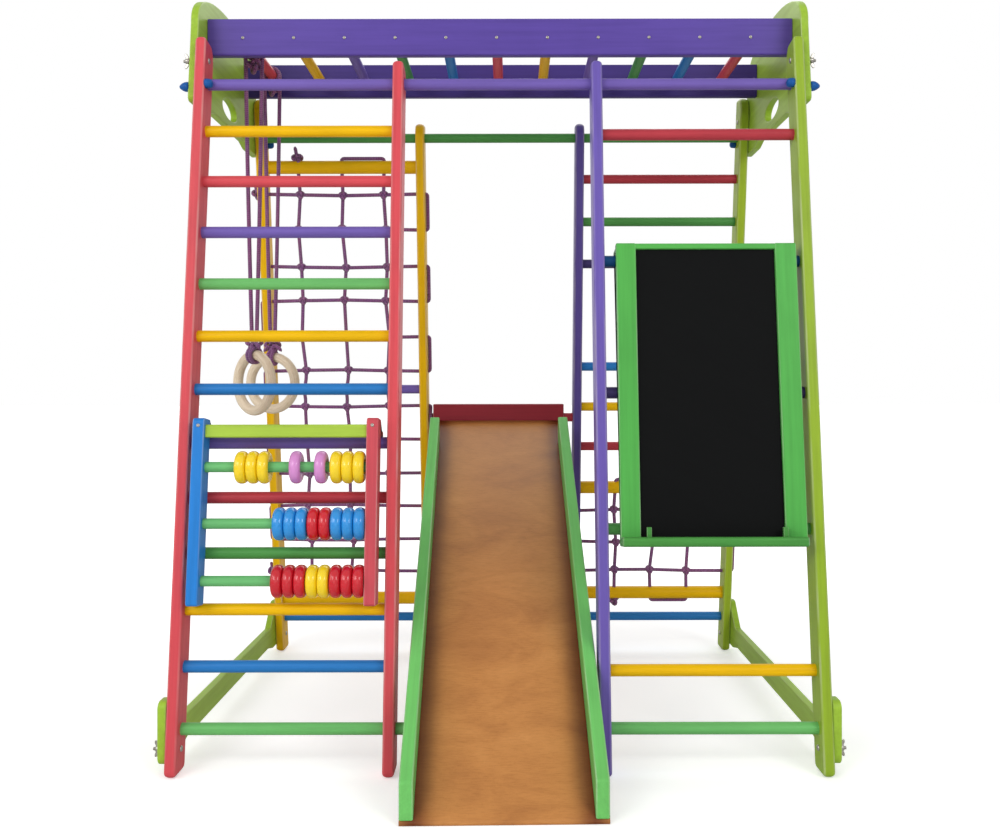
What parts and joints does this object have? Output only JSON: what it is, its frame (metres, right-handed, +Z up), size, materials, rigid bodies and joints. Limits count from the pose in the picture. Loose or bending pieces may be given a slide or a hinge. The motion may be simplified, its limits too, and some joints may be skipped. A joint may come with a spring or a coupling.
{
  "type": "kids indoor gym",
  "caption": "Painted wooden A-frame indoor gym: ladders, slide, rope nets, gymnastic rings, overhead ladder, bead counter and blackboard.",
  "frame": {"origin": "under the middle of the whole gym, on the floor", "axes": "+Z up; -Y is the front, where the slide comes out; +X is the right side seen from the front"},
  "size_m": [1.3836, 1.2424, 1.7],
  "materials": {
    "beech": "bare turned wood",
    "black": "matt chalkboard paint",
    "blue": "satin paint",
    "dark_green": "satin paint",
    "dark_purple": "satin paint",
    "gloss_blue": "gloss paint",
    "gloss_red": "gloss paint",
    "gloss_yellow": "gloss paint",
    "green": "satin paint",
    "head_red": "satin paint",
    "lime": "satin paint",
    "pink": "gloss paint",
    "purple": "satin paint",
    "red": "satin paint",
    "rope": "braided cord",
    "sheet": "varnished plywood",
    "yellow": "satin paint"
  },
  "bodies": {
    "frame": {"base_board_left": "lime", "base_board_right": "lime", "blackboard_frame": "green", "blackboard_panel": "black", "blackboard_tray": "green", "counter_frame": "blue", "front_bottom_rung": "green", "front_rail_inner_left": "red", "front_rail_inner_right": "purple", "front_rail_left": "red", "front_rail_right": "lime", "front_top_bar": "purple", "left_net": "rope", "left_rung_01": "blue", "left_rung_02": "yellow", "left_rung_03": "dark_green", "left_rung_04": "red", "left_rung_05": "purple", "left_rung_06": "blue", "left_rung_07": "yellow", "left_rung_08": "green", "left_rung_09": "purple", "left_rung_10": "red", "left_rung_11": "yellow", "net_bottom_bar": "yellow", "net_top_bar": "yellow", "overhead_ladder": "purple", "rear_bottom_rung": "blue", "rear_ladder_right": "purple", "rear_left_rung": "purple", "rear_rail_inner_left": "yellow", "rear_rail_left": "yellow", "rear_top_bar": "dark_green", "right_net": "rope", "right_rung_1": "yellow", "right_rung_2": "dark_green", "right_rung_3": "dark_purple", "right_rung_4": "blue", "right_rung_5": "red", "slide_rung": "head_red", "top_bracket_left": "lime", "top_bracket_right": "lime"},
    "slide": {"slide_sheet": "sheet", "slide_side_left": "green", "slide_side_right": "green", "slide_head_board": "head_red"},
    "ring_front_swing": {"ring_front": "beech", "ring_rope_front": "rope"},
    "ring_rear_swing": {"ring_rear": "beech", "ring_rope_rear": "rope"},
    "beads_1_yellow_left_body": {"beads_1_yellow_left": "gloss_yellow"},
    "bead_1_pink_left_body": {"bead_1_pink_left": "pink"},
    "bead_1_pink_right_body": {"bead_1_pink_right": "pink"},
    "beads_1_yellow_right_body": {"beads_1_yellow_right": "gloss_yellow"},
    "beads_2_blue_right_body": {"beads_2_blue_right": "gloss_blue"},
    "beads_2_red_body": {"beads_2_red": "gloss_red"},
    "beads_2_blue_left_body": {"beads_2_blue_left": "gloss_blue"},
    "beads_3_red_right_body": {"beads_3_red_right": "gloss_red"},
    "beads_3_yellow_body": {"beads_3_yellow": "gloss_yellow"},
    "beads_3_red_left_body": {"beads_3_red_left": "gloss_red"}
  },
  "joints": [
    {"name": "slide_hinge", "type": "hinge", "parent": "frame", "child": "slide", "pos_m": [-0.0114, 0.47565, 0.69852], "axis": [1, 0, 0], "range_deg": [-25, 0]},
    {"name": "ring_front_swing", "type": "hinge", "parent": "frame", "child": "ring_front_swing", "pos_m": [-0.5915, -0.00951, 1.592], "axis": [0, 1, 0], "range_deg": [-60, 18]},
    {"name": "ring_rear_swing", "type": "hinge", "parent": "frame", "child": "ring_rear_swing", "pos_m": [-0.5915, 0.17549, 1.592], "axis": [0, 1, 0], "range_deg": [-60, 18]},
    {"name": "beads_1_yellow_left_slide", "type": "slide", "parent": "frame", "child": "beads_1_yellow_left_body", "axis": [1, 0, 0], "range_m": [-0.0637, 0.0208]},
    {"name": "bead_1_pink_left_slide", "type": "slide", "parent": "frame", "child": "bead_1_pink_left_body", "axis": [1, 0, 0], "range_m": [-0.0208, 0.0137]},
    {"name": "bead_1_pink_right_slide", "type": "slide", "parent": "frame", "child": "bead_1_pink_right_body", "axis": [1, 0, 0], "range_m": [-0.0137, 0.0038]},
    {"name": "beads_1_yellow_right_slide", "type": "slide", "parent": "frame", "child": "beads_1_yellow_right_body", "axis": [1, 0, 0], "range_m": [-0.0038, 0.0034]},
    {"name": "beads_2_blue_right_slide", "type": "slide", "parent": "frame", "child": "beads_2_blue_right_body", "axis": [1, 0, 0], "range_m": [-0.0484, 0]},
    {"name": "beads_2_red_slide", "type": "slide", "parent": "beads_2_blue_right_body", "child": "beads_2_red_body", "axis": [1, 0, 0], "range_m": [-0.0484, 0]},
    {"name": "beads_2_blue_left_slide", "type": "slide", "parent": "beads_2_red_body", "child": "beads_2_blue_left_body", "axis": [1, 0, 0], "range_m": [-0.0484, 0]},
    {"name": "beads_3_red_right_slide", "type": "slide", "parent": "frame", "child": "beads_3_red_right_body", "axis": [1, 0, 0], "range_m": [-0.0484, 0]},
    {"name": "beads_3_yellow_slide", "type": "slide", "parent": "beads_3_red_right_body", "child": "beads_3_yellow_body", "axis": [1, 0, 0], "range_m": [-0.0484, 0]},
    {"name": "beads_3_red_left_slide", "type": "slide", "parent": "beads_3_yellow_body", "child": "beads_3_red_left_body", "axis": [1, 0, 0], "range_m": [-0.0484, 0]}
  ]
}
